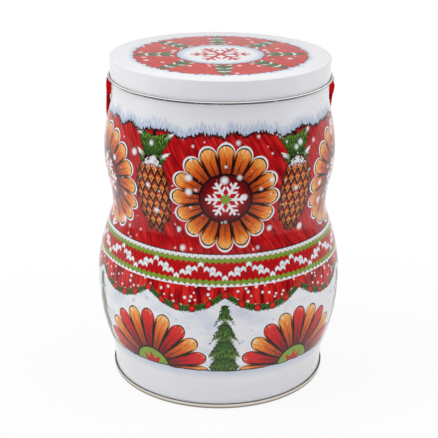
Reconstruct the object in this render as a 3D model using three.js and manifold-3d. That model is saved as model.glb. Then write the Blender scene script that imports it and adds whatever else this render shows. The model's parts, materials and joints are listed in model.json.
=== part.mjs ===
// A round tinplate gift tin for biscuits: a body that swells at the hip and again at
// the shoulder, a seamed-on base, a slip lid on a straight neck, and a woven strap
// handle riveted to the sides of the neck. Millimetres, +Z up. The origin is on the
// tin's axis, in the plane that the base seam stands on. -Y is the front, and the
// handle hangs down the back.
import * as THREE from "three";
import { mergeVertices } from "three/addons/utils/BufferGeometryUtils.js";
import Module from "manifold-3d";

const wasm = await Module();
wasm.setup();

// ---- driving dimensions ------------------------------------------------------------

// Sheet metal and fits
const bodySheet = 0.25;
const lidSheet = 0.25;
const endSheet = 0.25;
const gap = 0.3; // between pieces that touch

// The body's outline, from the foot up
const overallHeight = 191.2;
const footRadius = 63.2;
const footHeight = 5.1; // top of the straight wall above the base seam
const hipRadius = 72.15;
const hipHeight = 61;
const waistRadius = 62.6;
const waistHeight = 103.6;
const shoulderRadius = 66.8;
const shoulderHeight = 137.8;
const neckRadius = 61.95;
const mouthRoll = 2.0; // outer diameter of the roll at the mouth

// How full the outline is between two stations, as shares of the height between them:
// how far it keeps its course on leaving the lower one and on reaching the upper one
const footToHip = [0.33, 0.587];
const hipToWaist = [0.49, 0.1];
const waistToShoulder = [0.505, 0.505];
const shoulderToNeck = [0.46, 0.17];

// Lid
const skirtHeight = 11.8;
const lidCorner = 0.7;
const lidRoll = 1.72; // outer diameter of the roll under the skirt

// Base
const seamHeight = 3.4;
const seamThickness = 2.05; // across the seam, from the chuck wall to its outside
const seamCorner = 0.5;
const flangeThrow = 0.5; // how far the body's foot turns out inside the seam
const panelRecess = 3.0;
const beadRadius = 43;
const beadWidth = 10;
const beadFlat = 4;
const beadDepth = 0.8;

// Handle strap
const strapWidth = 8.6;
const strapThickness = 1.3;
const strapReach = 92; // from the rivets to the inside of the loop's middle
const strapLeg = 34; // straight run of the loop before it starts to curve
const strapEdgeGap = 1.4; // from the strap's edge up to the lid
const flapEnd = 3.3; // how far the doubled end runs past the rivet

// Rivets and washers
const shankRadius = 1.5;
const rivetBore = 0.9;
const headRadius = 2.8;
const headThickness = 0.8;
const headSink = 0.9; // depth of the dimple that the head lies in
const tailRadius = 2.4;
const tailThickness = 0.5;
const washerRadius = 3.5;
const washerThickness = 0.4;

// Facets
const around = 48;
const aroundSmall = 20;
const stepsPerSwell = 7;
const stepsPerRoll = 6;
const stepsPerCorner = 2;
const stepsPerBend = 12;

// ---- places worked out from them ---------------------------------------------------

const skirtInner = neckRadius + gap;
const skirtOuter = skirtInner + lidSheet;
const lidBottom = overallHeight - skirtHeight;
const lidRollOuter = skirtInner + lidRoll;
const mouthTop = overallHeight - lidSheet - gap;

const pivotHeight = lidBottom - strapEdgeGap - strapWidth / 2;
const neckFoot = pivotHeight - strapWidth / 2;

const seamInside = endSheet + gap; // from the seam's outside to the foot's flange
const seamOuter = footRadius - bodySheet + flangeThrow + seamInside;
const chuckWall = seamOuter - seamThickness;

const tabInner = neckRadius + gap;
const loopInner = lidRollOuter + gap;
const loopOuter = loopInner + strapThickness;
const holeRadius = shankRadius + gap;

// ---- small tools -------------------------------------------------------------------

const point = (x, y) => new THREE.Vector2(x, y);

/** Points of an arc from one angle to another, in degrees. */
function arc(x, y, radius, fromDegrees, toDegrees, steps) {
  const points = [];
  for (let i = 0; i <= steps; i += 1) {
    const degrees = fromDegrees + ((toDegrees - fromDegrees) * i) / steps;
    const angle = THREE.MathUtils.degToRad(degrees);
    points.push(point(x + radius * Math.cos(angle), y + radius * Math.sin(angle)));
  }
  return points;
}

/** Turns a closed outline of radius and height about the Z axis. */
function turn(outline, segments) {
  const geometry = new THREE.LatheGeometry(outline, segments);
  geometry.rotateX(Math.PI / 2);
  return geometry;
}

function toSolid(geometry) {
  const bare = geometry.clone();
  bare.deleteAttribute("normal");
  bare.deleteAttribute("uv");
  const merged = mergeVertices(bare);
  const triVerts = new Uint32Array(merged.index.array);
  const vertProperties = new Float32Array(merged.attributes.position.array);
  return new wasm.Manifold(new wasm.Mesh({ numProp: 3, vertProperties, triVerts }));
}

function toGeometry(solid) {
  const mesh = solid.getMesh();
  const geometry = new THREE.BufferGeometry();
  geometry.setAttribute("position", new THREE.BufferAttribute(mesh.vertProperties, 3));
  geometry.setIndex(new THREE.BufferAttribute(mesh.triVerts, 1));
  geometry.computeVertexNormals();
  return geometry;
}

/** A round bar along X, from one X to another, to cut holes with. */
function barAlongX(radius, fromX, toX, height) {
  const bar = new THREE.CylinderGeometry(radius, radius, toX - fromX, aroundSmall);
  bar.rotateZ(Math.PI / 2);
  bar.translate((fromX + toX) / 2, 0, height);
  return toSolid(bar);
}

// ---- body shell --------------------------------------------------------------------

/** One swell of the body's outline, upright at both of its stations. */
function swell(radiusA, heightA, radiusB, heightB, [leave, arrive]) {
  const rise = heightB - heightA;
  const curve = new THREE.CubicBezierCurve(
    point(radiusA, heightA),
    point(radiusA, heightA + leave * rise),
    point(radiusB, heightB - arrive * rise),
    point(radiusB, heightB),
  );
  return curve.getPoints(stepsPerSwell);
}

/** The outside of the body's wall, from the top of the foot to the start of the neck. */
function bodyOutline() {
  return [
    ...swell(footRadius, footHeight, hipRadius, hipHeight, footToHip),
    ...swell(hipRadius, hipHeight, waistRadius, waistHeight, hipToWaist).slice(1),
    ...swell(waistRadius, waistHeight, shoulderRadius, shoulderHeight, waistToShoulder).slice(1),
    ...swell(shoulderRadius, shoulderHeight, neckRadius, neckFoot, shoulderToNeck).slice(1),
  ];
}

/** The body's radius at a height, read off its outline. */
function bodyRadiusAt(height, outline) {
  if (height <= outline[0].y) {
    return outline[0].x;
  }
  for (let i = 1; i < outline.length; i += 1) {
    if (height <= outline[i].y) {
      const share = (height - outline[i - 1].y) / (outline[i].y - outline[i - 1].y);
      return THREE.MathUtils.lerp(outline[i - 1].x, outline[i].x, share);
    }
  }
  return outline[outline.length - 1].x;
}

function bodyShell() {
  const outside = bodyOutline();
  const inside = outside.map((p) => point(p.x - bodySheet, p.y)).reverse();
  const flangeFoot = endSheet + gap;
  const flangeEdge = footRadius - bodySheet + flangeThrow;
  const foot = [
    point(footRadius - bodySheet, flangeFoot),
    point(flangeEdge, flangeFoot),
    point(flangeEdge, flangeFoot + bodySheet),
    point(footRadius, flangeFoot + bodySheet),
  ];
  const rollRadius = mouthRoll / 2;
  const rollCentre = neckRadius - rollRadius;
  const rollHeight = mouthTop - rollRadius;
  const rollOutside = arc(rollCentre, rollHeight, rollRadius, 0, 260, stepsPerRoll);
  const rollInside = arc(rollCentre, rollHeight, rollRadius - bodySheet, 260, 0, stepsPerRoll);
  const outline = [...foot, ...outside, ...rollOutside, ...rollInside, ...inside, foot[0]];
  const wall = toSolid(turn(outline, around));
  const cutter = barAlongX(holeRadius, -loopOuter, loopOuter, pivotHeight);
  return toGeometry(wall.subtract(cutter));
}

// ---- lid ---------------------------------------------------------------------------

function lid() {
  const innerCorner = lidCorner - lidSheet;
  const cornerCentre = skirtOuter - lidCorner;
  const cornerHeight = overallHeight - lidCorner;
  const rollRadius = lidRoll / 2;
  const rollCentre = skirtInner + rollRadius;
  const rollHeight = lidBottom + rollRadius;
  return turn(
    [
      point(0, overallHeight - lidSheet),
      ...arc(cornerCentre, cornerHeight, innerCorner, 90, 0, stepsPerCorner),
      ...arc(rollCentre, rollHeight, rollRadius, 180, 470, stepsPerRoll),
      ...arc(rollCentre, rollHeight, rollRadius - lidSheet, 470, 180, stepsPerRoll),
      ...arc(cornerCentre, cornerHeight, lidCorner, 0, 90, stepsPerCorner),
      point(0, overallHeight),
    ],
    around,
  );
}

// ---- base --------------------------------------------------------------------------

/** The bead pressed into the base panel, as seen along one face of the sheet. */
function bead(height) {
  const halfTop = beadWidth / 2;
  const halfFlat = beadFlat / 2;
  return [
    point(beadRadius - halfTop, height),
    point(beadRadius - halfFlat, height - beadDepth),
    point(beadRadius + halfFlat, height - beadDepth),
    point(beadRadius + halfTop, height),
  ];
}

function bottomEnd() {
  const inner = seamCorner - endSheet;
  const lipEdge = footRadius + gap;
  const panelTop = panelRecess + endSheet;
  const wallOutside = chuckWall + endSheet;
  return turn(
    [
      point(0, panelRecess),
      ...bead(panelRecess),
      ...arc(chuckWall - inner, panelRecess - inner, inner, 90, 0, stepsPerCorner),
      ...arc(chuckWall + seamCorner, seamCorner, seamCorner, 180, 270, stepsPerCorner),
      ...arc(seamOuter - seamCorner, seamCorner, seamCorner, 270, 360, stepsPerCorner),
      point(seamOuter, seamHeight - endSheet),
      point(seamOuter - endSheet, seamHeight),
      point(lipEdge, seamHeight),
      point(lipEdge, seamHeight - endSheet),
      point(seamOuter - endSheet, seamHeight - 2 * endSheet),
      ...arc(seamOuter - seamCorner, seamCorner, inner, 360, 270, stepsPerCorner),
      ...arc(chuckWall + seamCorner, seamCorner, inner, 270, 180, stepsPerCorner),
      ...arc(wallOutside - seamCorner, panelTop - seamCorner, seamCorner, 0, 90, stepsPerCorner),
      ...bead(panelTop).reverse(),
      point(0, panelTop),
    ],
    around,
  );
}

// ---- handle strap ------------------------------------------------------------------

/** One bend of the loop, from the top of a leg round to the loop's middle. */
function bend(halfWidth, reach) {
  const roundness = 0.5523; // handle length that makes a quarter ellipse
  return new THREE.CubicBezierCurve(
    point(halfWidth, strapLeg),
    point(halfWidth, strapLeg + roundness * (reach - strapLeg)),
    point(roundness * halfWidth, reach),
    point(0, reach),
  ).getPoints(stepsPerBend);
}

const mirror = (points) => points.map((p) => point(-p.x, p.y)).reverse();

/** The steepest angle below level at which the hanging loop stays clear of the body. */
function hangAngle() {
  const outline = bodyOutline();
  const loop = bend(loopInner, strapReach);
  const isClear = (angle) =>
    loop.every((p) =>
      [-strapWidth / 2, 0, strapWidth / 2].every((across) => {
        const back = p.y * Math.cos(angle) + across * Math.sin(angle);
        const height = pivotHeight - p.y * Math.sin(angle) + across * Math.cos(angle);
        return Math.hypot(p.x, back) > bodyRadiusAt(height, outline) + gap;
      }),
    );
  let clear = 0;
  let touching = Math.PI / 2;
  for (let i = 0; i < 20; i += 1) {
    const middle = (clear + touching) / 2;
    if (isClear(middle)) {
      clear = middle;
    } else {
      touching = middle;
    }
  }
  return clear;
}

/** The strap as a flat loop: X across the tin, Y from the rivets to the loop's middle. */
function handleStrap() {
  const foldRadius = (loopOuter - tabInner) / 2;
  const foldCentre = tabInner + foldRadius;
  const foldStart = foldRadius - strapWidth / 2;
  const foldInner = foldRadius - strapThickness;
  const outerHalf = [
    point(tabInner, flapEnd),
    ...arc(foldCentre, foldStart, foldRadius, 180, 360, stepsPerRoll),
    ...bend(loopOuter, strapReach + strapThickness),
  ];
  const innerHalf = [
    ...bend(loopInner, strapReach).reverse(),
    ...arc(foldCentre, foldStart, foldInner, 360, 180, stepsPerRoll),
    point(tabInner + strapThickness, flapEnd),
  ];
  const outline = [
    ...outerHalf,
    ...mirror(outerHalf).slice(1),
    ...mirror(innerHalf),
    ...innerHalf.slice(1),
  ];
  const band = new THREE.ExtrudeGeometry(new THREE.Shape(outline), {
    depth: strapWidth,
    bevelEnabled: false,
  });
  band.translate(0, 0, -strapWidth / 2);

  // Round the ends about the rivets
  const side = new THREE.Shape();
  const far = strapReach + strapWidth;
  side.moveTo(far, strapWidth);
  side.lineTo(0, strapWidth);
  side.lineTo(0, strapWidth / 2);
  side.absarc(0, 0, strapWidth / 2, Math.PI / 2, Math.PI * 1.5, false);
  side.lineTo(0, -strapWidth);
  side.lineTo(far, -strapWidth);
  const keep = new THREE.ExtrudeGeometry(side, {
    depth: 4 * loopOuter,
    bevelEnabled: false,
    curveSegments: aroundSmall / 2,
  });
  keep.translate(0, 0, -2 * loopOuter);
  keep.applyMatrix4(new THREE.Matrix4().makeBasis(
    new THREE.Vector3(0, 1, 0),
    new THREE.Vector3(0, 0, 1),
    new THREE.Vector3(1, 0, 0),
  ));

  const reachOut = loopOuter + headThickness;
  const dimpleFloor = loopOuter - headSink;
  const solid = toSolid(band)
    .intersect(toSolid(keep))
    .subtract(barAlongX(holeRadius, -reachOut, reachOut, 0))
    .subtract(barAlongX(headRadius + gap, dimpleFloor, reachOut, 0))
    .subtract(barAlongX(headRadius + gap, -reachOut, -dimpleFloor, 0));
  return toGeometry(solid);
}

// ---- rivets and washers ------------------------------------------------------------

// Distances from the tin's axis, taken where the washer's rim meets the neck's curve
const neckInside = Math.sqrt((neckRadius - bodySheet) ** 2 - washerRadius ** 2);
const washerOuterFace = neckInside - gap;
const washerInnerFace = washerOuterFace - washerThickness;
const tailOuterFace = washerInnerFace - gap;
const tailInnerFace = tailOuterFace - tailThickness;
const headInnerFace = loopOuter - headSink + gap;

/** A hollow rivet, standing along Z at its distance from the tin's axis. */
function rivet() {
  const domeRise = headThickness / 2;
  const headEdge = headInnerFace + headThickness - domeRise;
  return turn(
    [
      point(0, headInnerFace),
      point(rivetBore, headInnerFace),
      point(rivetBore, tailInnerFace),
      point(tailRadius, tailInnerFace),
      point(tailRadius, tailOuterFace),
      point(shankRadius, tailOuterFace),
      point(shankRadius, headInnerFace),
      point(headRadius, headInnerFace),
      point(headRadius, headEdge),
      point(headRadius * Math.SQRT1_2, headEdge + domeRise * Math.SQRT1_2),
      point(0, headEdge + domeRise),
    ],
    aroundSmall,
  );
}

/** A plain washer, standing along Z at its distance from the tin's axis. */
function washer() {
  return turn(
    [
      point(holeRadius, washerInnerFace),
      point(washerRadius, washerInnerFace),
      point(washerRadius, washerOuterFace),
      point(holeRadius, washerOuterFace),
      point(holeRadius, washerInnerFace),
    ],
    aroundSmall,
  );
}

// ---- materials ---------------------------------------------------------------------

function finish(color, roughness, metalness) {
  return new THREE.MeshStandardMaterial({ color, roughness, metalness });
}

const printedTinplate = () => finish(0xe8e9ec, 0.25, 0.0);
const bareTinplate = () => finish(0xb9b6a8, 0.35, 1.0);
const redWebbing = () => finish(0xb00c10, 0.85, 0.0);
const brightMetal = () => finish(0xc4c5c8, 0.25, 1.0);

// ---- the tin -----------------------------------------------------------------------

function piece(name, geometry, material) {
  const mesh = new THREE.Mesh(geometry, material);
  mesh.name = name;
  return mesh;
}

const tin = new THREE.Group();
tin.add(piece("body_shell", bodyShell(), printedTinplate()));
tin.add(piece("bottom_end", bottomEnd(), bareTinplate()));
tin.add(piece("lid", lid(), printedTinplate()));

const strap = piece("handle_strap", handleStrap(), redWebbing());
strap.position.z = pivotHeight;
strap.rotation.x = -hangAngle();
tin.add(strap);

for (const [side, turnAboutY] of [["left", -Math.PI / 2], ["right", Math.PI / 2]]) {
  const fixing = new THREE.Group();
  fixing.position.z = pivotHeight;
  fixing.rotation.y = turnAboutY;
  fixing.add(piece(`rivet_${side}`, rivet(), brightMetal()));
  fixing.add(piece(`washer_${side}`, washer(), brightMetal()));
  tin.add(fixing);
}

export default tin;
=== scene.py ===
"""A printed tinplate gift tin with a slip lid and a woven strap handle, dressed for render.

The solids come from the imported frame. Each piece here stands in one solid's place, on the
same outline but finely turned, with its print, varnish, bare metal or weave.
"""

import json
import math

import bpy
import numpy as np
from mathutils import Matrix, Vector


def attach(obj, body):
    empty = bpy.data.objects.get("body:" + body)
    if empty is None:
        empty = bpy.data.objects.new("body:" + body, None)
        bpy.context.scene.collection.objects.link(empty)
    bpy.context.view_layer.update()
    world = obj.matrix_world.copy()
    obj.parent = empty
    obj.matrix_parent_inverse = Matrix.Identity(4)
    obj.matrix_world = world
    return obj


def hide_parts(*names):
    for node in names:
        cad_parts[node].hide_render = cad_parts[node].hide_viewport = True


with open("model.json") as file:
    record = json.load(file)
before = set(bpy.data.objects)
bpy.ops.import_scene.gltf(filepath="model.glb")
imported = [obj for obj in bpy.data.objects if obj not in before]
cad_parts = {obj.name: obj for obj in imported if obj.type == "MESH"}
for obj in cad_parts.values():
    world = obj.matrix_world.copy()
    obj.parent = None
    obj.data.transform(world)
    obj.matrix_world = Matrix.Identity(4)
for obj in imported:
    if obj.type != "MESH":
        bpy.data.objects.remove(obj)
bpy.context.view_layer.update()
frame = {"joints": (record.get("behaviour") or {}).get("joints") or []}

MM = 0.001

# ---- sizes, in millimetres, on the solids' own outlines ----------------------------------

SHEET = 0.25
GAP = 0.3

# The body's stations, from the foot up: radius and height
FOOT = (63.2, 5.1)
HIP = (72.15, 61.0)
WAIST = (62.6, 103.6)
SHOULDER = (66.8, 137.8)
NECK = (61.95, 169.4)
MOUTH_ROLL = 2.0

# From each station to the next, and how far the outline keeps its course on leaving the one
# and on reaching the other, as shares of the rise between them
SWELLS = (
    (FOOT, HIP, 0.33, 0.587),
    (HIP, WAIST, 0.49, 0.1),
    (WAIST, SHOULDER, 0.505, 0.505),
    (SHOULDER, NECK, 0.46, 0.17),
)

# Heights where one printed area ends and the next begins
PLAIN_FOOT_TOP = 20.0
BAND_FOOT = 78.0
BAND_TOP = 96.0
PLAIN_NECK_FOOT = 172.0

TOP = 191.2
SKIRT_HEIGHT = 11.8
LID_CORNER = 0.7
LID_ROLL = 1.72
ROLL_HEIGHT = 0.92
SKIRT_INNER = NECK[0] + GAP
SKIRT_OUTER = SKIRT_INNER + SHEET
LID_BOTTOM = TOP - SKIRT_HEIGHT

SEAM_HEIGHT = 2.85
SEAM_THICKNESS = 2.05
SEAM_CORNER = 0.5
LIP_BEVEL = 0.2
FLANGE_THROW = 0.5
SEAM_OUTER = FOOT[0] - SHEET + FLANGE_THROW + SHEET + GAP
CHUCK_WALL = SEAM_OUTER - SEAM_THICKNESS
PANEL_RECESS = 3.0

STRAP_WIDTH = 8.6
STRAP_THICKNESS = 1.05
TAB_THICKNESS = 1.24
STRAP_REACH = 92.0
STRAP_LEG = 34.0
FLAP_REACH = 5.4
SEALED_REACH = 3.4
HOLE_RADIUS = 1.8
TAB_INNER = NECK[0] + GAP

# Both ends of the strap sit this far to the right
END_SHIFT = 0.2

# The strap's legs: distance from the rivets, and how far from the tin's axis each face lies.
# A leg is flat as far as FLAT_REACH and has stepped outward by STEP_REACH.
FLAT_REACH = 2.6
STEP_REACH = 4.8
LEG_FACES = (
    (0.0, 63.55, 64.75),
    (FLAT_REACH, 63.55, 64.75),
    (STEP_REACH, 64.08, 64.86),
    (6.5, 64.08, 64.9),
    (8.0, 64.0, 64.99),
    (10.0, 63.72, 65.1),
    (12.0, 63.36, 65.24),
    (16.0, 63.32, 65.52),
    (20.0, 63.47, 65.76),
    (25.0, 63.65, 65.9),
    (34.0, 63.8, 65.8),
)
HANG_DEGREES = 44.16

SHANK_RADIUS = 1.5
RIVET_BORE = 0.9
HEAD_RADIUS = 2.8
HEAD_THICKNESS = 0.5
HEAD_INNER_FACE = 64.35
TAIL_RADIUS = 2.4
TAIL_THICKNESS = 0.5
WASHER_RADIUS = 3.5
WASHER_THICKNESS = 0.4

# From the tin's axis to the inside of the neck, at the washer's edge
NECK_INSIDE = math.sqrt((NECK[0] - SHEET) ** 2 - WASHER_RADIUS ** 2)

HINGE = next(j for j in frame["joints"] if j["name"] == "handle_swing")
PIVOT_HEIGHT = HINGE["pos_m"][2] / MM


# ---- numbers in node trees, and colours ----------------------------------------------------

class Number:
    """A number in a node tree. Arithmetic on it adds Math nodes."""

    def __init__(self, tree, socket):
        self.tree = tree
        self.socket = socket

    def __add__(self, other):
        return calc(self.tree, "ADD", self, other)

    def __sub__(self, other):
        return calc(self.tree, "SUBTRACT", self, other)

    def __mul__(self, other):
        return calc(self.tree, "MULTIPLY", self, other)

    def __truediv__(self, other):
        return calc(self.tree, "DIVIDE", self, other)

    def __rsub__(self, other):
        return calc(self.tree, "SUBTRACT", other, self)

    def __neg__(self):
        return calc(self.tree, "MULTIPLY", self, -1.0)

    def __abs__(self):
        return calc(self.tree, "ABSOLUTE", self)

    __radd__ = __add__
    __rmul__ = __mul__

    def sin(self):
        return calc(self.tree, "SINE", self)

    def cos(self):
        return calc(self.tree, "COSINE", self)

    def fract(self):
        return calc(self.tree, "FRACT", self)

    def floor(self):
        return calc(self.tree, "FLOOR", self)

    def power(self, exponent):
        return calc(self.tree, "POWER", self, exponent)

    def fold(self, width):
        """Runs up to width and back down again, over and over."""
        return calc(self.tree, "PINGPONG", self, width)

    def above(self, edge, soft):
        """0 below an edge and 1 above it, with a soft step between."""
        return calc(self.tree, "MULTIPLY_ADD", self, 1.0 / soft, 0.5 - edge / soft, clamp=True)

    def below(self, edge, soft):
        return calc(self.tree, "MULTIPLY_ADD", self, -1.0 / soft, 0.5 + edge / soft, clamp=True)


def calc(tree, operation, *values, clamp=False):
    node = tree.nodes.new("ShaderNodeMath")
    node.operation = operation
    node.use_clamp = clamp
    for slot, value in zip(node.inputs, values):
        if isinstance(value, Number):
            tree.links.new(value.socket, slot)
        else:
            slot.default_value = value
    return Number(tree, node.outputs[0])


def least(a, b):
    return calc(a.tree, "MINIMUM", a, b)


def most(a, b):
    return calc(a.tree, "MAXIMUM", a, b)


def both(*masks):
    """The product of masks."""
    result = masks[0]
    for mask in masks[1:]:
        result = result * mask
    return result


def length(x, y):
    return calc(x.tree, "SQRT", calc(x.tree, "MULTIPLY_ADD", x, x, y * y))


def heading(x, y):
    """The angle of a point about the origin, in radians, 0 to the right."""
    return calc(x.tree, "ARCTAN2", y, x)


def place_of_point(tree, kind):
    """Where a point lies along X, Y and Z."""
    place = tree.nodes.new("ShaderNodeTexCoord")
    split = tree.nodes.new("ShaderNodeSeparateXYZ")
    tree.links.new(place.outputs[kind], split.inputs[0])
    return [Number(tree, output) for output in split.outputs]


def linear(red, green, blue):
    """A colour given in screen values from 0 to 255."""
    parts = []
    for value in (red, green, blue):
        share = value / 255
        parts.append(share / 12.92 if share <= 0.04045 else ((share + 0.055) / 1.055) ** 2.4)
    return (*parts, 1.0)


# ---- camera, light and floor -------------------------------------------------------------

def make_camera():
    """The photograph's view: from the front and above, with a long lens."""
    distance = 616.5
    height = 329.0
    turn = math.radians(-3.0)
    pitch = math.radians(21.06)
    roll = math.radians(0.54)
    data = bpy.data.cameras.new("camera")
    data.sensor_width = 36.0
    data.lens = 91.1
    camera = bpy.data.objects.new("camera", data)
    bpy.context.collection.objects.link(camera)
    place = Matrix.Rotation(turn, 4, "Z") @ Matrix.Translation((0, -distance * MM, height * MM))
    aim = Matrix.Rotation(math.pi / 2 - pitch, 4, "X") @ Matrix.Rotation(roll, 4, "Z")
    camera.matrix_world = place @ aim
    bpy.context.scene.camera = camera


def area_lamp(name, place, target, size, power, colour):
    data = bpy.data.lights.new(name, "AREA")
    data.shape = "RECTANGLE"
    data.size, data.size_y = size
    data.energy = power
    data.color = colour
    lamp = bpy.data.objects.new(name, data)
    lamp.visible_glossy = False
    bpy.context.collection.objects.link(lamp)
    lamp.location = place
    lamp.rotation_euler = (Vector(target) - Vector(place)).to_track_quat("-Z", "Y").to_euler()


def ray_kinds(tree):
    """1 for a ray from the camera, and 1 for a ray from a mirror or clear surface, else 0."""
    path = tree.nodes.new("ShaderNodeLightPath")
    direct = Number(tree, path.outputs["Is Camera Ray"])
    glossy = Number(tree, path.outputs["Is Glossy Ray"])
    clear = Number(tree, path.outputs["Is Transmission Ray"])
    return direct, most(glossy, clear)


def make_world():
    """A little even light, and a plain white background. The reflections show a room that is
    white above the tin, pale behind it, and dim on the camera's side."""
    ambient = 0.07
    dim_side = 0.1
    behind_tin = 0.57
    above_tin = 1.0
    ceiling_edge = 0.27
    ceiling_soft = 0.22
    world = bpy.data.worlds.new("studio")
    bpy.context.scene.world = world
    world.use_nodes = True
    tree = world.node_tree
    tree.nodes.clear()
    _, y, z = place_of_point(tree, "Generated")
    behind = y.above(0.0, 1.0) * (behind_tin - dim_side)
    overhead = z.above(ceiling_edge, ceiling_soft) * (above_tin - dim_side)
    room = most(behind, overhead) + dim_side
    direct, mirrored = ray_kinds(tree)
    background = tree.nodes.new("ShaderNodeBackground")
    background.inputs["Color"].default_value = (1.0, 1.0, 1.0, 1.0)
    output = tree.nodes.new("ShaderNodeOutputWorld")
    strength = mirrored * (room - ambient) + direct * (1.0 - ambient) + ambient
    tree.links.new(strength.socket, background.inputs["Strength"])
    tree.links.new(background.outputs[0], output.inputs["Surface"])


def make_floor():
    """A white table that keeps part of the tin's shadow near the tin. Mirrored in the tin it
    is dim on the camera's side, as the room is."""
    half = 3.0
    shadow_share = 0.16
    shadow_end = 0.3
    dim_side = 0.12
    dim_edge = -0.2
    dim_soft = 0.2
    mesh = bpy.data.meshes.new("floor")
    corners = [(-half, -half, 0), (half, -half, 0), (half, half, 0), (-half, half, 0)]
    mesh.from_pydata(corners, [], [(0, 1, 2, 3)])
    floor = bpy.data.objects.new("floor", mesh)
    bpy.context.collection.objects.link(floor)
    material = bpy.data.materials.new("floor")
    material.use_nodes = True
    tree = material.node_tree
    tree.nodes.clear()
    x, y, _ = place_of_point(tree, "Object")
    near_tin = length(x, y).below(shadow_end / 2, shadow_end)
    direct, mirrored = ray_kinds(tree)
    share = (direct + mirrored) * (1.0 - near_tin * shadow_share)
    strength = 1.0 - mirrored * y.below(dim_edge, dim_soft) * (1.0 - dim_side)
    diffuse = tree.nodes.new("ShaderNodeBsdfDiffuse")
    diffuse.inputs["Color"].default_value = (0.97, 0.97, 0.97, 1.0)
    glow = tree.nodes.new("ShaderNodeEmission")
    mix = tree.nodes.new("ShaderNodeMixShader")
    output = tree.nodes.new("ShaderNodeOutputMaterial")
    tree.links.new(strength.socket, glow.inputs["Strength"])
    tree.links.new(share.socket, mix.inputs[0])
    tree.links.new(diffuse.outputs[0], mix.inputs[1])
    tree.links.new(glow.outputs[0], mix.inputs[2])
    tree.links.new(mix.outputs[0], output.inputs["Surface"])
    mesh.materials.append(material)


def make_lights():
    middle = (0.0, 0.0, 0.1)
    neutral = (1.0, 1.0, 1.0)
    cool = (0.93, 0.95, 1.0)
    area_lamp("upper_left", (-0.8, -0.1, 0.9), middle, (0.8, 0.8), 7.4, neutral)
    area_lamp("upper_right", (0.8, -0.1, 0.9), middle, (0.8, 0.8), 5.6, neutral)
    area_lamp("front", (0.0, -1.2, 0.35), middle, (1.4, 0.4), 4.0, cool)
    area_lamp("upper_back", (0.0, 0.5, 1.1), middle, (1.4, 0.6), 5.6, neutral)


# ---- print ----------------------------------------------------------------------------------

WHITE = linear(240, 240, 243)
SNOW_SHADE = linear(190, 202, 224)
RED = linear(198, 18, 24)
BRIGHT_RED = linear(226, 48, 38)
DEEP_RED = linear(104, 6, 14)
ORANGE = linear(222, 98, 30)
AMBER = linear(246, 172, 84)
CREAM = linear(250, 226, 186)
BRICK = linear(158, 42, 18)
BROWN = linear(36, 14, 12)
GREEN = linear(132, 164, 56)
LEAF = linear(74, 116, 40)
PINE = linear(18, 48, 26)
BLUSH = linear(240, 150, 130)


class Print:
    """The artwork of one printed area, laid down ink by ink. Places are in millimetres."""

    def __init__(self, material, ground, radius=None):
        self.tree = material.node_tree
        self.colour = ground
        place = self.tree.nodes.new("ShaderNodeUVMap")
        place.uv_map = "print"
        split = self.tree.nodes.new("ShaderNodeSeparateXYZ")
        self.tree.links.new(place.outputs[0], split.inputs[0])
        self.radius = radius
        scale = 1 / MM if radius is None else 2 * math.pi * radius
        self.x = Number(self.tree, split.outputs[0]) * scale
        self.y = Number(self.tree, split.outputs[1]) * (1 / MM)

    def connect(self, value, slot):
        if isinstance(value, tuple):
            slot.default_value = value
        else:
            self.tree.links.new(value.socket if isinstance(value, Number) else value, slot)

    def blend(self, low, high, share):
        """A colour between two others."""
        mix = self.tree.nodes.new("ShaderNodeMix")
        mix.data_type = "RGBA"
        self.tree.links.new(share.socket, mix.inputs["Factor"])
        self.connect(low, mix.inputs["A"])
        self.connect(high, mix.inputs["B"])
        return mix.outputs["Result"]

    def ink(self, colour, mask):
        """Prints a colour where the mask is 1."""
        self.colour = self.blend(self.colour, colour, mask)

    def texture(self, kind, x, y, scale):
        node = self.tree.nodes.new(kind)
        node.inputs["Scale"].default_value = scale
        place = self.tree.nodes.new("ShaderNodeCombineXYZ")
        self.tree.links.new(x.socket, place.inputs[0])
        self.tree.links.new(y.socket, place.inputs[1])
        self.tree.links.new(place.outputs[0], node.inputs["Vector"])
        return node

    def noise(self, x, y, scale, detail=2.0):
        """Smooth noise about 0.5, with a grain of about 1 / scale."""
        node = self.texture("ShaderNodeTexNoise", x, y, scale)
        node.noise_dimensions = "2D"
        node.inputs["Detail"].default_value = detail
        return Number(self.tree, node.outputs["Fac"])

    def flurry(self, spacing, smallest, largest):
        """A mask of scattered round dots. Sizes are shares of the spacing."""
        node = self.texture("ShaderNodeTexVoronoi", self.x, self.y, 1 / spacing)
        node.voronoi_dimensions = "2D"
        chance = self.tree.nodes.new("ShaderNodeSeparateXYZ")
        self.tree.links.new(node.outputs["Color"], chance.inputs[0])
        size = Number(self.tree, chance.outputs[0]) * (largest - smallest) + smallest
        return (Number(self.tree, node.outputs["Distance"]) - size).below(0.0, 0.09)

    def repeat(self, count, shift=0.0):
        """The distance sideways from the nearest of some copies round the tin."""
        pitch = 2 * math.pi * self.radius / count
        return ((self.x * (1 / pitch) + (0.5 + shift)).fract() - 0.5) * pitch


def star_edge(x, y, points, tip, valley):
    """Distance outside the edge of a star, negative inside."""
    half = math.pi / points
    angle = heading(x, y).fold(half)
    reach = length(x, y)
    inner = (valley * math.cos(half), valley * math.sin(half))
    run = (inner[0] - tip, inner[1])
    size = math.hypot(*run)
    normal = (run[1] / size, -run[0] / size)
    return (reach * angle.cos() - tip) * normal[0] + reach * angle.sin() * normal[1]


def snowflake_edge(x, y, tip, width):
    """Distance outside the strokes of a six-armed snowflake, negative inside."""
    angle = heading(x, y).fold(math.pi / 6)
    reach = length(x, y)
    along = reach * angle.cos()
    off = reach * angle.sin()
    result = most(off - width, along - tip)
    for share, branch in ((0.42, 0.3), (0.7, 0.24)):
        slant = abs((along - share * tip) * 0.866 - off * 0.5)
        result = least(result, most(slant - width * 0.8, off - branch * tip))
    return result


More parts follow.
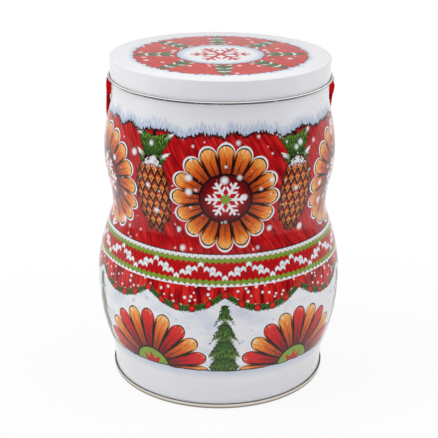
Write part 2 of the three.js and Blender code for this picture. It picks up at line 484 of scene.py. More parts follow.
# ---- materials -----------------------------------------------------------------------------

def new_material(name):
    material = bpy.data.materials.new(name)
    material.use_nodes = True
    return material, material.node_tree.nodes["Principled BSDF"]


def add_bump(material, shader, height, strength, distance, *sockets):
    bump = material.node_tree.nodes.new("ShaderNodeBump")
    bump.inputs["Strength"].default_value = strength
    bump.inputs["Distance"].default_value = distance
    material.node_tree.links.new(height, bump.inputs["Height"])
    for socket in sockets:
        material.node_tree.links.new(bump.outputs[0], shader.inputs[socket])


def object_noise(material, scale, detail=3.0, stretch=(1, 1, 1)):
    tree = material.node_tree
    place = tree.nodes.new("ShaderNodeTexCoord")
    mapping = tree.nodes.new("ShaderNodeMapping")
    mapping.inputs["Scale"].default_value = stretch
    noise = tree.nodes.new("ShaderNodeTexNoise")
    noise.inputs["Scale"].default_value = scale
    noise.inputs["Detail"].default_value = detail
    tree.links.new(place.outputs["Object"], mapping.inputs[0])
    tree.links.new(mapping.outputs[0], noise.inputs["Vector"])
    return noise.outputs["Fac"]


def varnished(name, artwork, radius=None):
    """Printed tinplate: ink on a white coat under a clear gloss varnish. The radius is that of
    the wall that the print runs round, or None on a flat panel."""
    material, shader = new_material(name)
    shader.inputs["Specular IOR Level"].default_value = 0.0
    shader.inputs["Coat Weight"].default_value = 1.0
    shader.inputs["Coat Roughness"].default_value = 0.06
    shader.inputs["Coat IOR"].default_value = 1.36
    art = Print(material, WHITE, radius)
    artwork(art)
    if radius is not None:
        weld_margin(art, shader)
    art.connect(art.colour, shader.inputs["Base Color"])
    ripple = object_noise(material, 60.0, 1.0)
    add_bump(material, shader, ripple, 0.05, 0.0004, "Coat Normal")
    return material


def weld_margin(art, shader):
    """The unprinted strip down the back, with the darker line of the weld in it."""
    margin = 1.6
    weld = 0.55
    from_seam = math.pi * art.radius - abs(art.x)
    bare = from_seam.below(margin, 0.15)
    art.ink(linear(196, 194, 188), bare)
    art.ink(linear(120, 116, 110), from_seam.below(weld, 0.3))
    art.connect(bare, shader.inputs["Metallic"])
    art.connect(bare * 0.3 + 0.42, shader.inputs["Roughness"])


def tinplate(name, colour, roughness, foot_shade=0.0, stained=0.86):
    """Bare or lacquered metal with fine rolling marks and a little staining, and with painted
    shade at its foot, darker there by the share foot_shade. Where stained, the colour is that
    share as bright."""
    shade_edge = 1.0 * MM
    shade_soft = 1.3 * MM
    material, shader = new_material(name)
    tree = material.node_tree
    shader.inputs["Metallic"].default_value = 1.0
    marks = object_noise(material, 900.0, 2.0, (0.06, 1.0, 1.0))
    stain = object_noise(material, 70.0, 4.0)
    tone = tree.nodes.new("ShaderNodeMix")
    tone.data_type = "RGBA"
    tone.inputs["A"].default_value = tuple(c * stained for c in colour[:3]) + (1.0,)
    tone.inputs["B"].default_value = colour
    tree.links.new(stain, tone.inputs["Factor"])
    _, _, height = place_of_point(tree, "Object")
    # Painted shade: darker towards the foot, where the piece meets the table.
    foot = height.below(shade_edge, shade_soft) * foot_shade
    shaded = tree.nodes.new("ShaderNodeMix")
    shaded.data_type = "RGBA"
    shaded.inputs["B"].default_value = tuple(c * 0.1 for c in colour[:3]) + (1.0,)
    tree.links.new(foot.socket, shaded.inputs["Factor"])
    tree.links.new(tone.outputs["Result"], shaded.inputs["A"])
    tree.links.new(shaded.outputs["Result"], shader.inputs["Base Color"])
    grain = tree.nodes.new("ShaderNodeMapRange")
    grain.inputs["To Min"].default_value = roughness * 0.75
    grain.inputs["To Max"].default_value = roughness * 1.3
    tree.links.new(marks, grain.inputs["Value"])
    tree.links.new(grain.outputs[0], shader.inputs["Roughness"])
    add_bump(material, shader, marks, 0.12, 0.0001, "Normal")
    return material


def webbing(sealed_at):
    """Red polyester webbing in a twill weave, with a painted highlight: a paler line across it
    where its end is sealed down.
    The print runs along the strap and across it."""
    material, shader = new_material("red_webbing_weave")
    art = Print(material, RED)
    yarn = 0.72
    crown = 1.7
    column = art.y * (1 / yarn)
    shift = column.floor() * 0.25
    across = ((column.fract() - 0.5) * math.pi).cos()
    along = abs(((art.x * (1 / crown) + shift) * math.pi).sin())
    fuzz = art.noise(art.x * 0.5, art.y, 6.0, 3.0)
    weave = across * along.power(0.6) + fuzz * 0.4
    wear_and_shadow_patches = art.noise(art.x, art.y, 0.15, 3.0)
    tone = art.blend(linear(222, 6, 10), linear(236, 16, 16), wear_and_shadow_patches.above(0.6, 0.3))
    art.colour = art.blend(linear(184, 2, 6), tone, weave.above(0.4, 0.7))
    # Painted highlight: a pale line across the strap where the flap's end is sealed down.
    sealed = abs(abs(art.x) - sealed_at).below(0.3, 0.2)
    art.ink(linear(236, 120, 112), sealed * 0.75)
    art.connect(art.colour, shader.inputs["Base Color"])
    shader.inputs["Roughness"].default_value = 0.75
    shader.inputs["Specular IOR Level"].default_value = 0.06
    shader.inputs["Sheen Weight"].default_value = 0.03
    shader.inputs["Sheen Roughness"].default_value = 0.4
    shader.inputs["Sheen Tint"].default_value = linear(255, 120, 110)
    add_bump(material, shader, weave.socket, 0.35, 0.00015, "Normal")
    return material


# ---- artwork -------------------------------------------------------------------------------

MOTIFS = 5
CRISP = 0.25


def plain_white(art):
    art.ink(SNOW_SHADE, art.noise(art.x, art.y, 0.03).above(0.7, 0.5) * 0.1)


def neck_art(art):
    """Plain white, with a painted shadow line just under the lid's edge, broken up in patches."""
    plain_white(art)
    line_foot = LID_BOTTOM - 0.9
    line_top = LID_BOTTOM - 0.2
    wear_and_shadow_patches = art.noise(art.x, art.y, 0.5, 3.0)
    painted_shadow_line = both(art.y.above(line_foot, 0.7), art.y.below(line_top, 0.3))
    # Painted shadow: a grey line on the neck just under the lid's edge, where the lid's roll
    # shades it.
    art.ink(linear(62, 60, 63), painted_shadow_line * wear_and_shadow_patches.above(0.26, 0.4))


def paint_red_ground(art, x, y, low=DEEP_RED, middle=RED, high=BRIGHT_RED):
    """Red laid on in slanting strokes."""
    stroke = art.noise(x + y * 0.6, (y - x * 0.5) * 0.12, 0.5, 3.0)
    art.colour = art.blend(low, middle, stroke.above(0.4, 0.35))
    art.ink(high, stroke.above(0.62, 0.12) * 0.6)


def paint_fir(art, x, y, height, half_width, tiers):
    """A fir tree standing on y = 0, its boughs drooping, with snow on their tips."""
    side = abs(x)
    y = y + side * 0.28
    up = y * (tiers / height)
    droop = up.fract()
    ragged = art.noise(x, y, 0.9, 2.0) * (half_width * 0.3)
    taper = (1.0 - y * (0.86 / height)) * half_width
    edge = side - taper * (1.0 - droop * 0.55) - ragged + half_width * 0.12
    standing = both(y.above(0.0, CRISP), y.below(height, CRISP))
    trunk = both(side.below(half_width * 0.1, CRISP), y.above(-4.5, CRISP), y.below(1.0, CRISP))
    art.ink(BROWN, trunk)
    needles = art.noise(x * 1.6, y * 0.5 + side * 0.6, 1.1, 3.0)
    tone = art.blend(PINE, LEAF, needles.above(0.48, 0.2))
    tone = art.blend(tone, GREEN, both(needles.above(0.6, 0.12), droop.below(0.5, 0.4)))
    tone = art.blend(tone, PINE, droop.above(0.86, 0.2) * 0.7)
    art.ink(BROWN, both(edge.below(0.5, CRISP), standing))
    art.ink(tone, both(edge.below(0.0, CRISP), standing))
    snow = both(droop.below(0.22, 0.16), edge.below(-0.3, 0.8), edge.above(-3.4, 2.0), standing)
    art.ink(WHITE, snow)


def paint_petals(art, x, y, inner, outer, count, every_other=None):
    """A ring of painted petals, pale at the tips and dark at the root, edged in brown. Colours
    given in every_other take the place of the amber ones on every second petal."""
    reach = length(x, y)
    angle = heading(x, y)
    turns = angle * (count / (2 * math.pi))
    swell = abs((angle * (count / 2)).cos()).power(0.5)
    edge = reach - (outer * 0.8 + swell * (outer * 0.2))
    streak = art.noise(angle * (count * 1.5), reach * 0.25, 1.0, 3.0)
    depth = (reach - inner) * (1 / (outer - inner))
    low, middle, high, tip = BRICK, ORANGE, AMBER, CREAM
    if every_other:
        second = ((turns + 0.5).floor() * 0.5).fract().above(0.25, 0.1)
        low, middle, high, tip = [
            art.blend(a, b, second) for a, b in zip((low, middle, high, tip), every_other)]
    tone = art.blend(low, middle, (depth + streak * 0.5).above(0.5, 0.5))
    tone = art.blend(tone, high, (depth + streak * 0.7).above(1.1, 0.35))
    tone = art.blend(tone, tip, (depth + streak * 0.6).above(1.3, 0.16))
    art.ink(WHITE, edge.below(1.9, 0.5))
    art.ink(BROWN, edge.below(0.8, CRISP))
    art.ink(tone, edge.below(0.0, CRISP))
    across = abs((angle * (count / 2)).sin())
    art.ink(BROWN, both((across + streak * 0.16).above(1.0, 0.07), edge.below(-1.0, 2.0)))
    vein = (across - streak * 0.2).below(0.03, 0.06)
    art.ink(BROWN, both(vein, depth.below(0.55, 0.3)) * 0.8)
    art.ink(BROWN, both(streak.above(0.6, 0.1), depth.below(0.42, 0.5)) * 0.85)
    art.ink(BROWN, reach.below(inner + 1.2, CRISP))


def paint_cone(art, x, y, half_width, height):
    """A hanging pine cone: rows of overlapping scales with pale lips. Its tip is at y = 0."""
    middle = height * 0.56
    reach = length(x * (1 / half_width), (y - middle) * (1 / (height - middle)))
    lower = length(x * (1 / half_width), (y - middle) * (1 / middle))
    outside = (most(reach, lower) - 1.0) * half_width
    row_height = height / 9
    scale_width = half_width / 2.3
    up = y * (1 / row_height)
    bulge = x * (1 / scale_width) * (1.0 + reach * reach * 0.12)
    row = up.floor()
    across = (bulge + row * 0.5).fract() - 0.5
    lift = (up + across * across * 2.6).fract()
    shift = (up + across * across * 2.6).floor() - row
    across = (bulge + (row + shift) * 0.5).fract() - 0.5
    grain = art.noise(x * 2.0, y, 0.8, 3.0)
    tone = art.blend(AMBER, ORANGE, (lift + grain * 0.3).above(0.28, 0.2))
    tone = art.blend(tone, BRICK, (lift + grain * 0.3).above(0.5, 0.2))
    tone = art.blend(tone, BROWN, (lift + abs(across) * 0.5 + grain * 0.3).above(0.84, 0.3))
    tone = art.blend(tone, BROWN, outside.above(-0.8, 2.4) * 0.7)
    outside = outside + abs(lift - 0.3) * 1.6 - 0.8
    art.ink(BROWN, outside.below(0.8, CRISP))
    art.ink(tone, outside.below(0.0, CRISP))
    snow = both((y + grain * 8.0).above(height + 1.0, 1.6), outside.below(-0.2, 0.6))
    art.ink(WHITE, snow)


def shoulder_art(art):
    """Large rosettes between fir sprigs with cones, on snowy red, under a bank of snow."""
    middle = 128.0
    root = 13.5
    tip = 29.0
    bank_foot = 169.5
    y = art.y - middle
    paint_red_ground(art, art.x, art.y)
    side = art.repeat(MOTIFS, 0.5)
    paint_fir(art, side, 31.0 - y, 42.0, 13.5, 4.0)
    paint_cone(art, side, y + 27.0, 10.5, 46.0)
    x = art.repeat(MOTIFS)
    paint_petals(art, x, y, root, tip, 16)
    reach = length(x, y)
    art.ink(art.blend(RED, DEEP_RED, reach.above(9.0, 6.0)), reach.below(root, CRISP))
    art.ink(WHITE, snowflake_edge(x, y, 11.0, 0.75).below(0.0, CRISP))
    art.ink(GREEN, star_edge(x, y, 6, 3.6, 2.0).below(0.0, CRISP))
    art.ink(WHITE, art.flurry(17.0, 0.03, 0.12))
    art.ink(WHITE, art.flurry(9.0, -0.06, 0.08) * 0.9)
    frost = art.noise(art.x, art.y * 0.3, 0.9, 4.0)
    drift = art.noise(art.x, art.y * 0.1, 0.07, 2.0)
    bank = art.y + frost * 5.0 + drift * 9.0 - bank_foot
    snow = art.blend(SNOW_SHADE, WHITE, (bank + frost * 5.0).above(6.0, 4.0))
    art.ink(BROWN, bank.above(-1.4, 0.8))
    art.ink(snow, bank.above(0.0, 0.5))


def waist_art(art):
    """A knitted band of eight rows: white and green edges, and a white zigzag on red."""
    rows = 8
    high = (BAND_TOP - BAND_FOOT) / rows
    half = (BAND_TOP - BAND_FOOT) / 2
    outline = 0.3
    columns = 128
    across = art.x * (columns / (2 * math.pi * art.radius)) + 0.5
    side = across.fract() - 0.5
    up = (art.y - BAND_FOOT) / high + abs(side) * 1.1 - 0.3
    row = up.floor()
    wave = (across.floor() / 8).fold(0.5) * 8
    art.ink(RED, row.above(-9.0, 1.0))
    art.ink(WHITE, abs(row - 2.0 - wave * 0.75).below(0.6, 0.1))
    art.ink(GREEN, abs(row - 1.0).below(0.5, 0.1))
    art.ink(GREEN, abs(row - 6.0).below(0.5, 0.1))
    art.ink(WHITE, abs(row - 3.5).above(3.4, 0.1))
    stitch = up.fract()
    hollow = most(abs(stitch - 0.5).above(0.42, 0.16), abs(side).above(0.46, 0.08))
    art.ink(DEEP_RED, hollow * 0.55)
    art.ink(BROWN, abs(art.y - BAND_FOOT - half).above(half - outline, outline))


def hip_art(art):
    """Fans and fir trees standing in snow, under a swagged garland."""
    ground = art.noise(art.x, art.y * 1.5, 0.06, 3.0)
    art.ink(SNOW_SHADE, ground.above(0.6, 0.3) * 0.55)
    art.ink(SNOW_SHADE, art.flurry(11.0, 0.02, 0.1) * 0.8)
    paint_garland(art, art.repeat(2 * MOTIFS, 0.5), art.y)
    snow_line = 25.0
    root = 11.0
    tip = 36.0
    y = art.y - snow_line
    paint_fir(art, art.repeat(MOTIFS), y, 44.0, 14.0, 4.0)
    x = art.repeat(MOTIFS, 0.5)
    paint_petals(art, x, y, root, tip, 20, (DEEP_RED, RED, BRIGHT_RED, BLUSH))
    reach = length(x, y)
    art.ink(GREEN, reach.below(root, CRISP))
    art.ink(RED, star_edge(x, y, 8, 9.0, 4.5).below(0.0, CRISP))
    same_at_all_heights = art.y * 0.0
    wave = y - art.noise(art.x, same_at_all_heights, 0.12, 4.0) * 2.4
    art.ink(WHITE, wave.below(0.0, CRISP))
    art.ink(SNOW_SHADE, both(wave.below(0.0, 1.0), wave.above(-4.0, 6.0)) * 0.7)
    art.ink(BROWN, abs(wave).below(0.4, CRISP))


def paint_garland(art, x, y):
    """A spotted red cloth hung in swags, with a rope of fir and red baubles along its hem."""
    sag = 9.0
    top = 75.0
    bead_pitch = 9.0
    bead_radius = 1.75
    bead_outline = 0.35
    pitch = math.pi * art.radius / MOTIFS
    low = x * (2 / pitch)
    drop = y - top + sag - low * low * sag
    fold = art.noise(art.x, art.y * 0.15, 0.4, 2.0)
    cloth = art.blend(DEEP_RED, RED, fold.above(0.42, 0.2))
    art.ink(art.blend(cloth, BRIGHT_RED, fold.above(0.6, 0.15)), drop.above(0.0, CRISP))
    art.ink(WHITE, both(drop.above(1.0, CRISP), art.flurry(4.5, 0.1, 0.2)))
    bristle = art.noise(art.x, art.y, 1.3, 3.0)
    rope = abs(drop) - bristle * 3.8
    art.ink(art.blend(PINE, LEAF, bristle.above(0.5, 0.2)), rope.below(0.0, CRISP))
    bead = length(((x / bead_pitch).fract() - 0.5) * bead_pitch, drop)
    art.ink(BROWN, bead.below(bead_radius + bead_outline, CRISP))
    art.ink(art.blend(BRIGHT_RED, RED, bead.above(1.0, 1.4)), bead.below(bead_radius, CRISP))


def lid_art(art):
    """A snowflake on a white disc, ringed with fir twigs, on a frosted red roundel."""
    disc = 26.0
    roundel = 53.0
    outline = 0.6
    x, y = art.x, art.y
    reach = length(x, y)
    angle = heading(x, y)
    paint_red_ground(art, x, y, linear(176, 22, 14), linear(206, 36, 18), linear(222, 58, 26))
    art.ink(WHITE, art.flurry(13.0, 0.03, 0.12))
    along = reach - 30.0
    across = (angle * (4.0 / math.pi) + 0.5).fract() - 0.5
    paint_fir(art, across * 26.0, along + 2.0, 20.0, 7.0, 3.0)
    frost = art.noise(angle * 14.0, reach * 0.1, 1.0, 4.0)
    rim = reach + frost * 7.0
    inner = reach + frost * 3.0
    art.ink(BROWN, inner.below(disc + outline, 0.4))
    art.ink(art.blend(WHITE, SNOW_SHADE, inner.above(disc - 3.0, 4.0)), inner.below(disc, 0.4))
    art.ink(RED, snowflake_edge(x, y, 17.0, 1.1).below(0.0, CRISP))
    art.ink(BROWN, rim.above(roundel - outline, 0.4))
    art.ink(art.blend(SNOW_SHADE, WHITE, rim.above(roundel + 1.5, 4.0)), rim.above(roundel, 0.4))


# ---- mesh tools ----------------------------------------------------------------------------

# Edges that turn by more than this many degrees are shaded sharp
SHARP = 35.0
STRAP_SHARP = 60.0


def oval(x, y, half_width, half_height, start, end, steps):
    angles = np.radians(np.linspace(start, end, steps + 1))
    return [(x + half_width * math.cos(a), y + half_height * math.sin(a)) for a in angles]


def arc(x, y, radius, start, end, steps):
    return oval(x, y, radius, radius, start, end, steps)


def bezier(a, b, c, d, steps):
    points = []
    for t in np.linspace(0, 1, steps + 1):
        weights = ((1 - t) ** 3, 3 * (1 - t) ** 2 * t, 3 * (1 - t) * t * t, t ** 3)
        points.append(tuple(sum(w * p[i] for w, p in zip(weights, (a, b, c, d))) for i in (0, 1)))
    return points


def smooth_step(value, low, high):
    """0 below low and 1 above high, with an even curve between."""
    share = np.clip((value - low) / (high - low), 0, 1)
    return share * share * (3 - 2 * share)


def make_piece(name, vertices, faces, uvs, materials, slots, sharp=SHARP):
    """Makes a smooth-shaded mesh piece. uvs holds one pair for each corner of each face."""
    mesh = bpy.data.meshes.new(name)
    mesh.from_pydata([tuple(c * MM for c in v) for v in vertices], [], faces)
    layer = mesh.uv_layers.new(name="print")
    layer.data.foreach_set("uv", [c for pair in uvs for c in pair])
    for material in materials:
        mesh.materials.append(material)
    mesh.polygons.foreach_set("material_index", slots)
    mesh.polygons.foreach_set("use_smooth", [True] * len(faces))
    mesh.set_sharp_from_angle(angle=math.radians(sharp))
    mesh.update()
    piece = bpy.data.objects.new(name, mesh)
    bpy.context.collection.objects.link(piece)
    return piece


def turned(name, outline, columns, choose, unroll):
    """Turns a closed outline of (radius, height) about Z. choose(height, step) gives a face's
    material and unroll(turns, radius, height) a corner's place in the print."""
    vertices, rings = [], []
    for radius, height in outline:
        if radius < 1e-6:
            rings.append([len(vertices)] * (columns + 1))
            vertices.append((0.0, 0.0, height))
            continue
        ring = []
        for column in range(columns):
            angle = 2 * math.pi * (column / columns - 0.5)
            ring.append(len(vertices))
            vertices.append((radius * math.sin(angle), -radius * math.cos(angle), height))
        rings.append(ring + [ring[0]])
    faces, uvs, slots, materials = [], [], [], []
    count = len(outline)
    closed = outline[0][0] > 1e-6
    for i in range(count if closed else count - 1):
        k = (i + 1) % count
        material = choose((outline[i][1] + outline[k][1]) / 2, i)
        if material not in materials:
            materials.append(material)
        for column in range(columns):
            corners = [(i, column), (i, column + 1), (k, column + 1), (k, column)]
            kept, face = [], []
            for step, where in corners:
                index = rings[step][where]
                if index not in face:
                    face.append(index)
                    kept.append((step, where))
            faces.append(face)
            slots.append(materials.index(material))
            for step, where in kept:
                uvs.append(unroll(where / columns - 0.5, *outline[step]))
    return make_piece(name, vertices, faces, uvs, materials, slots)


def around_body(turns, _radius, height):
    return turns, height * MM


def seen_from_above(turns, radius, _height):
    angle = 2 * math.pi * turns
    return radius * math.sin(angle) * MM, -radius * math.cos(angle) * MM


# ---- pieces --------------------------------------------------------------------------------

COLUMNS = 192
SWELL_STEPS = 26
ROLL_STEPS = 14
CORNER_STEPS = 6


def body_outline():
    points = [FOOT]
    for low, high, leave, arrive in SWELLS:
        rise = high[1] - low[1]
        curve = bezier(low, (low[0], low[1] + leave * rise), (high[0], high[1] - arrive * rise),
                       high, SWELL_STEPS)
        points += curve[1:]
    return points


def make_body():
    beside_rivets = 2.6
    curl = 260
    straight = [(NECK[0], PIVOT_HEIGHT + side * beside_rivets) for side in (-1, 1)]
    outside = body_outline() + straight
    inside = [(radius - SHEET, height) for radius, height in reversed(outside)]
    flange_foot = SHEET + GAP
    flange_edge = FOOT[0] - SHEET + FLANGE_THROW
    foot = [
        (FOOT[0] - SHEET, flange_foot),
        (flange_edge, flange_foot),
        (flange_edge, flange_foot + SHEET),
        (FOOT[0], flange_foot + SHEET),
    ]
    roll = MOUTH_ROLL / 2
    centre = (NECK[0] - roll, TOP - SHEET - GAP - roll)
    outline = [
        *foot, *outside,
        *arc(*centre, roll, 0, curl, ROLL_STEPS),
        *arc(*centre, roll - SHEET, curl, 0, ROLL_STEPS),
        *inside,
    ]
    first_outside = len(foot) - 1
    last_outside = first_outside + len(outside)

    def choose(height, step):
        if not first_outside <= step <= last_outside:
            return inside_lacquer
        if height > PLAIN_NECK_FOOT:
            return neck_print
        if height < PLAIN_FOOT_TOP:
            return white_print
        if height > BAND_TOP:
            return shoulder_print
        if height > BAND_FOOT:
            return waist_print
        return hip_print

    body = turned("body", outline, COLUMNS, choose, around_body)
    pierce(body, PIVOT_HEIGHT, SHARP)
    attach(body, "tin")
    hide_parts("body_shell")


def make_lid():
    roll_start = 180
    roll_finish = 470
    crease_share = 0.94
    shaded_roll_share = 0.48
    inner_corner = LID_CORNER - SHEET
    corner = (SKIRT_OUTER - LID_CORNER, TOP - LID_CORNER)
    half = (LID_ROLL / 2, ROLL_HEIGHT / 2)
    hollow = (half[0] - SHEET, half[1] - SHEET)
    centre = (SKIRT_INNER + half[0], LID_BOTTOM + half[1])
    inside = [(0.0, TOP - SHEET), *arc(*corner, inner_corner, 90, 0, CORNER_STEPS)]
    roll_outside = oval(*centre, *half, roll_start, roll_finish, ROLL_STEPS)
    roll_inside = oval(*centre, *hollow, roll_finish, roll_start, ROLL_STEPS)
    crease_top = LID_BOTTOM + crease_share * ROLL_HEIGHT
    outside = [(SKIRT_OUTER, crease_top), *arc(*corner, LID_CORNER, 0, 90, CORNER_STEPS),
               (0.0, TOP)]
    outline = [*inside, *roll_outside, *roll_inside, *outside]
    roll_end = len(inside) + len(roll_outside) + len(roll_inside)
    shaded_roll_top = LID_BOTTOM + shaded_roll_share * ROLL_HEIGHT

    def choose(height, step):
        if step < len(inside):
            return inside_lacquer
        # On the roll's lower half the metal is dark: painted shade on its underside.
        if step < roll_end - 1:
            return painted_shade_metal if height < shaded_roll_top else roll_tinplate
        # The strip in the crease above the roll is dark metal: painted shade in the crease.
        if height < crease_top:
            return painted_shade_metal
        if step >= len(outline) - 2:
            return lid_print
        return white_print

    lid = turned("lid_cover", outline, COLUMNS, choose, seen_from_above)
    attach(lid, "lid")
    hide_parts("lid")


def make_base():
    inner = SEAM_CORNER - SHEET
    lip_edge = FOOT[0] + GAP
    panel_top = PANEL_RECESS + SHEET
    bead_depth = 0.8
    outside_centre = (SEAM_OUTER - SEAM_CORNER, SEAM_CORNER)
    inside_centre = (CHUCK_WALL + SEAM_CORNER, SEAM_CORNER)

    def bead(height):
        low = height - bead_depth
        return [(38.0, height), (41.0, low), (45.0, low), (48.0, height)]

    outline = [
        (0.0, PANEL_RECESS), *bead(PANEL_RECESS),
        *arc(CHUCK_WALL - inner, PANEL_RECESS - inner, inner, 90, 0, CORNER_STEPS),
        *arc(*inside_centre, SEAM_CORNER, 180, 270, CORNER_STEPS),
        *arc(*outside_centre, SEAM_CORNER, 270, 360, CORNER_STEPS),
        (SEAM_OUTER, SEAM_HEIGHT - LIP_BEVEL),
        (SEAM_OUTER - LIP_BEVEL, SEAM_HEIGHT),
        (lip_edge, SEAM_HEIGHT),
        (lip_edge, SEAM_HEIGHT - SHEET),
        (SEAM_OUTER - SHEET, SEAM_HEIGHT - 2 * SHEET),
        *arc(*outside_centre, inner, 360, 270, CORNER_STEPS),
        *arc(*inside_centre, inner, 270, 180, CORNER_STEPS),
        *arc(CHUCK_WALL + SHEET - SEAM_CORNER, panel_top - SEAM_CORNER, SEAM_CORNER, 0, 90,
             CORNER_STEPS),
        *reversed(bead(panel_top)), (0.0, panel_top),
    ]

    def choose(height, _step):
        # The seam's lip and bevel are dark metal: painted shade in the crease under the body's
        # foot.
        return painted_shade_metal if height > SEAM_HEIGHT - LIP_BEVEL else seam_tinplate

    base = turned("base", outline, COLUMNS, choose, seen_from_above)
    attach(base, "tin")
    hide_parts("bottom_end")


def strap_course():
    """The strap's middle line, from one flap round the loop to the other. Each point holds the
    distance across the tin, the distance along the handle from its rivets, and half the
    strap's thickness there. The legs are doubled, and flat under the rivets."""
    fold_steps = 14
    flap_steps = 24
    bend_end = 9.0
    bend_steps = 44
    leg_steps = 36
    loop_steps = 70
    thinning_run = 24
    rivet_to, inner_face, outer_face = np.array(LEG_FACES).T
    half_tab = TAB_THICKNESS / 2
    tab = TAB_INNER + half_tab
    half_top = (outer_face[0] - inner_face[0]) / 2
    top = (outer_face[0] + inner_face[0]) / 2
    fold = (top - tab) / 2
    fold_start = fold + half_tab - STRAP_WIDTH / 2
    fold_line = arc(tab + fold, fold_start, fold, 180, 360, fold_steps)
    fold_half = np.linspace(half_tab, half_top, len(fold_line))
    bend = np.linspace(fold_start, bend_end, bend_steps)
    down = np.concatenate([bend, np.linspace(bend_end, STRAP_LEG, leg_steps)[1:]])
    near = np.interp(down, rivet_to, inner_face)
    far = np.interp(down, rivet_to, outer_face)
    end = (near[-1] + far[-1]) / 2
    half_end = (far[-1] - near[-1]) / 2
    half_loop = STRAP_THICKNESS / 2
    reach = STRAP_REACH + half_loop
    roundness = 0.5523
    loop = np.array(bezier((end, STRAP_LEG), (end, STRAP_LEG + roundness * (reach - STRAP_LEG)),
                           (roundness * end, reach), (0.0, reach), loop_steps))
    single = smooth_step(loop[:, 1], STRAP_LEG, STRAP_LEG + thinning_run)
    loop_half = half_end + (half_loop - half_end) * single
    half = [
        *[(tab, y, half_tab) for y in np.linspace(FLAP_REACH, fold_start, flap_steps)],
        *[(x, y, h) for (x, y), h in zip(fold_line, fold_half)][1:],
        *zip((near + far)[1:] / 2, down[1:], (far - near)[1:] / 2),
        *[(x, y, h) for (x, y), h in zip(loop, loop_half)][1:],
    ]
    return np.array(half + [(-x, y, h) for x, y, h in reversed(half[:-1])])


def strap_run():
    """The course, its directions and the length run at each point, 0 at the loop's middle."""
    course = strap_course()
    line = course[:, :2]
    run = np.gradient(line, axis=0)
    run /= np.linalg.norm(run, axis=1)[:, None]
    steps = np.linalg.norm(np.diff(line, axis=0), axis=1)
    along = np.concatenate([[0.0], np.cumsum(steps)])
    return course, run, along - along[-1] / 2


def strap_section():
    """The strap's outline across: share of the half width, and of the half thickness."""
    flat_share = 0.9
    round_share = 0.1
    flat = np.linspace(-flat_share, flat_share, 17)
    edge = [(flat_share + round_share * math.cos(a), math.sin(a))
            for a in np.radians((60, 30, 0, -30, -60))]
    front = [(s, 1.0) for s in flat]
    back = [(s, -1.0) for s in flat[::-1]]
    return [*front, *edge, *back, *[(-s, t) for s, t in reversed(edge)]]


def make_strap():
    """Sweeps the strap's section along its course, pinched under the rivet heads."""
    course, run, along = strap_run()
    on_leg = (course[:, 0] > LEG_FACES[0][1]) & (course[:, 1] > 0)
    sealed = float(abs(np.interp(SEALED_REACH, course[on_leg, 1], along[on_leg])))
    section = strap_section()
    head_clearance = 0.03
    under_head = HEAD_INNER_FACE - head_clearance
    pinch_start = HEAD_RADIUS + 0.2
    pinch_end = 4.0
    narrowest = 0.01
    vertices, places = [], []
    end_radius = STRAP_WIDTH / 2
    for (x, y, half_sheet), (run_x, run_y), s in zip(course, run, along):
        on_flap = abs(x) < LEG_FACES[0][1] and y > 0 and abs(s) > sealed
        shift = END_SHIFT * (1 - smooth_step(y, FLAT_REACH, STEP_REACH))
        for share, side in section:
            px = x + shift + run_y * side * half_sheet
            py = y - run_x * side * half_sheet
            rounded = math.sqrt(max(1 - (min(py, 0) / end_radius) ** 2, narrowest))
            across = share * end_radius * rounded
            if on_flap:
                py *= math.sqrt(FLAP_REACH ** 2 - across ** 2) / FLAP_REACH
            if abs(x) > LEG_FACES[0][1] and side > 0:
                near = 1 - smooth_step(math.hypot(across, y), pinch_start, pinch_end)
                px += (math.copysign(under_head, x) - px) * near
            vertices.append((px, py, across))
            places.append((s * MM, across * MM))
    count = len(section)
    rings = len(course)
    faces, uvs = [], []
    for i in range(rings - 1):
        for k in range(count):
            corners = [i * count + k, i * count + (k + 1) % count,
                       (i + 1) * count + (k + 1) % count, (i + 1) * count + k]
            faces.append(corners)
            uvs += [places[c] for c in corners]
    for end in (list(range(count))[::-1], [(rings - 1) * count + k for k in range(count)]):
        faces.append(end)
        uvs += [places[c] for c in end]
    slots = [0] * len(faces)
    strap = make_piece("strap", vertices, faces, uvs, [webbing(sealed)], slots, STRAP_SHARP)
    pierce(strap, 0.0, STRAP_SHARP)
    tilt = Matrix.Rotation(-math.radians(HANG_DEGREES), 4, "X")
    strap.matrix_world = Matrix.Translation((0, 0, PIVOT_HEIGHT * MM)) @ tilt
    bpy.context.view_layer.update()
    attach(strap, "handle")
    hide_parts("handle_strap")


def pierce(piece, height, sharp):
    """Cuts the rivets' holes along X through a piece, at a height over its origin."""
    half_length = 80.0
    columns = 24
    outline = [(0.0, -half_length), (HOLE_RADIUS, -half_length), (HOLE_RADIUS, half_length),
               (0.0, half_length)]
    cutter = turned("cutter", outline, columns, lambda *_: piece.data.materials[0], around_body)
    lift = Matrix.Translation((0, 0, height * MM))
    cutter.matrix_world = lift @ Matrix.Rotation(math.pi / 2, 4, "Y")
    cut = piece.modifiers.new("cut", "BOOLEAN")
    cut.operation = "DIFFERENCE"
    cut.object = cutter
    bpy.context.view_layer.update()
    finished = piece.evaluated_get(bpy.context.evaluated_depsgraph_get())
    mesh = bpy.data.meshes.new_from_object(finished)
    mesh.set_sharp_from_angle(angle=math.radians(sharp))
    piece.modifiers.clear()
    piece.data = mesh
    bpy.data.objects.remove(cutter)


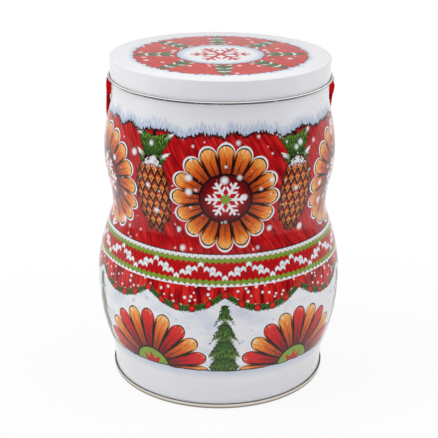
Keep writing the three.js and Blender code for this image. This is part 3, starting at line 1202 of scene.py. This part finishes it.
def rivet_outline():
    """Half of a hollow rivet: radius, and distance from the tin's axis."""
    tail_outer = NECK_INSIDE - 2 * GAP - WASHER_THICKNESS
    tail_inner = tail_outer - TAIL_THICKNESS
    tail_corner = 0.25
    dome_rise = 0.3
    lip = 0.35
    head_top = HEAD_INNER_FACE + HEAD_THICKNESS
    dome = [(HEAD_RADIUS * math.sin(a), head_top - dome_rise * (1 - math.cos(a)))
            for a in np.radians(np.linspace(32, 90, 8))]
    return [
        (RIVET_BORE, tail_inner),
        *arc(TAIL_RADIUS - tail_corner, tail_outer - tail_corner, tail_corner, -90, 90, 6),
        (SHANK_RADIUS, tail_outer),
        (SHANK_RADIUS, HEAD_INNER_FACE),
        (HEAD_RADIUS - 0.1, HEAD_INNER_FACE),
        *reversed(dome),
        (RIVET_BORE + lip, head_top - 0.04),
        (RIVET_BORE + 0.1, head_top - 0.14),
        (RIVET_BORE, head_top - 0.34),
    ]


def washer_outline():
    outer = NECK_INSIDE - GAP
    inner = outer - WASHER_THICKNESS
    bevel = 0.12
    return [
        (HOLE_RADIUS, inner), (WASHER_RADIUS - bevel, inner), (WASHER_RADIUS, inner + bevel),
        (WASHER_RADIUS, outer - bevel), (WASHER_RADIUS - bevel, outer), (HOLE_RADIUS, outer),
    ]


def make_fasteners(metal):
    columns = 40
    for side, angle in (("left", -math.pi / 2), ("right", math.pi / 2)):
        for kind, outline in (("rivet", rivet_outline()), ("washer", washer_outline())):
            name = f"{side}_{kind}"
            part = turned(name, outline, columns, lambda *_: metal, seen_from_above)
            lift = Matrix.Translation((0, 0, PIVOT_HEIGHT * MM))
            part.matrix_world = lift @ Matrix.Rotation(angle, 4, "Y")
            bpy.context.view_layer.update()
            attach(part, "tin")
            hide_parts(f"{kind}_{side}")


# ---- the tin -------------------------------------------------------------------------------

bpy.context.scene.view_settings.view_transform = "Standard"
make_camera()
make_world()
make_lights()
make_floor()

white_print = varnished("white_print", plain_white, FOOT[0])
neck_print = varnished("neck_print", neck_art, NECK[0])
shoulder_print = varnished("shoulder_print", shoulder_art, SHOULDER[0])
waist_print = varnished("waist_print", waist_art, 64.5)
hip_print = varnished("hip_print", hip_art, HIP[0])
lid_print = varnished("lid_print", lid_art)
roll_tinplate = tinplate("roll_tinplate", linear(250, 250, 246), 0.12, stained=0.94)
# Dark metal for painted shade: in the lid's crease, on the underside of its roll, and on the
# seam's lip.
painted_shade_metal = tinplate("painted_shade_metal", linear(56, 56, 56), 0.3)
# The seam's foot is darkened by painted shade towards the table.
seam_tinplate = tinplate("seam_tinplate", linear(220, 213, 200), 0.2, 0.95)
inside_lacquer = tinplate("inside_lacquer", linear(238, 231, 212), 0.45, stained=0.92)
nickel = tinplate("nickel", linear(214, 214, 216), 0.2)

make_body()
make_lid()
make_base()
make_strap()
make_fasteners(nickel)
